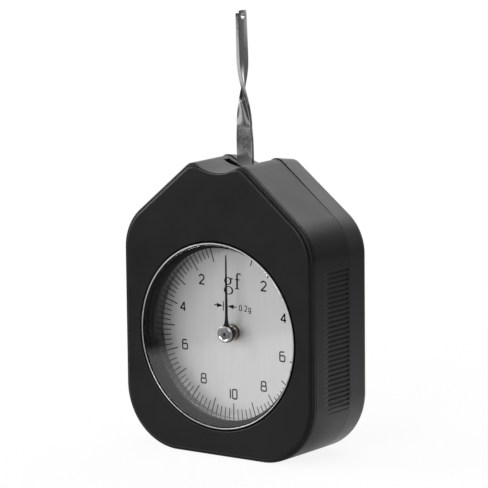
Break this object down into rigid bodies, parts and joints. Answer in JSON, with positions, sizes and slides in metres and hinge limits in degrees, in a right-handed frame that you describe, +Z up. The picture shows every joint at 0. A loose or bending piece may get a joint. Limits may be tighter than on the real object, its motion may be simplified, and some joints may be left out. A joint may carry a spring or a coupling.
{
  "type": "dial tension gauge",
  "caption": "Hand-held dial tension gauge: flat moulded case with a glazed dial and a twisted lever on top that swings either way and turns the pointer.",
  "frame": {"origin": "middle of the flat base that the gauge stands on, half way between dial side and back", "axes": "+Z up along the lever, +Y from the dial to the back, +X to the right of the dial"},
  "size_m": [0.0604, 0.0254, 0.115],
  "materials": {
    "black_plastic": "fine satin, moulded",
    "gloss_black": "gloss",
    "clear_lens": "clear, polished",
    "bright_ring": "polished",
    "lever_steel": "ground and plated",
    "steel": "turned",
    "spring_steel": "blued strip",
    "brass": "turned and pressed",
    "dial_paint": "satin silver",
    "rubber": "matte"
  },
  "bodies": {
    "case": {"front_case": "black_plastic", "rear_cover": "black_plastic", "case_screw_1": "steel", "case_screw_2": "steel", "case_screw_3": "steel", "case_screw_4": "steel", "lens": "clear_lens", "lens_bezel": "bright_ring", "lens_seal": "rubber", "dial_sleeve": "gloss_black", "dial_plate": "dial_paint", "front_plate": "brass", "rear_plate": "brass", "pillar_1": "brass", "pillar_2": "brass", "pillar_3": "brass", "pillar_4": "brass", "pillar_screw_1": "steel", "pillar_screw_2": "steel", "pillar_screw_3": "steel", "pillar_screw_4": "steel", "movement_screw_1": "steel", "movement_screw_2": "steel", "movement_screw_3": "steel", "movement_screw_4": "steel", "stop_pin_left": "steel", "stop_pin_right": "steel", "pointer_front_bush": "brass", "pointer_rear_bush": "brass", "lever_front_bush": "brass", "lever_rear_bush": "brass", "hairspring": "spring_steel", "hairspring_stud": "brass"},
    "lever": {"lever": "lever_steel", "lever_hub": "brass", "lever_shaft": "steel", "sector_gear": "brass"},
    "pointer": {"pointer": "gloss_black", "pointer_hub": "bright_ring", "pointer_arbor": "steel", "pinion": "brass", "hairspring_collet": "brass"}
  },
  "joints": [
    {"name": "lever_pivot", "type": "hinge", "parent": "case", "child": "lever", "pos_m": [0, 0.00095, 0.06415], "axis": [0, 1, 0], "range_deg": [-16.36, 16.36], "stiffness_Nm_per_rad": 0.018},
    {"name": "pointer_spin", "type": "hinge", "parent": "case", "child": "pointer", "pos_m": [0, 0.00095, 0.03165], "axis": [0, 1, 0], "range_deg": [-210, 210]}
  ],
  "couplings": [
    {"joint": "pointer_spin", "follows": "lever_pivot", "ratio": -11}
  ]
}
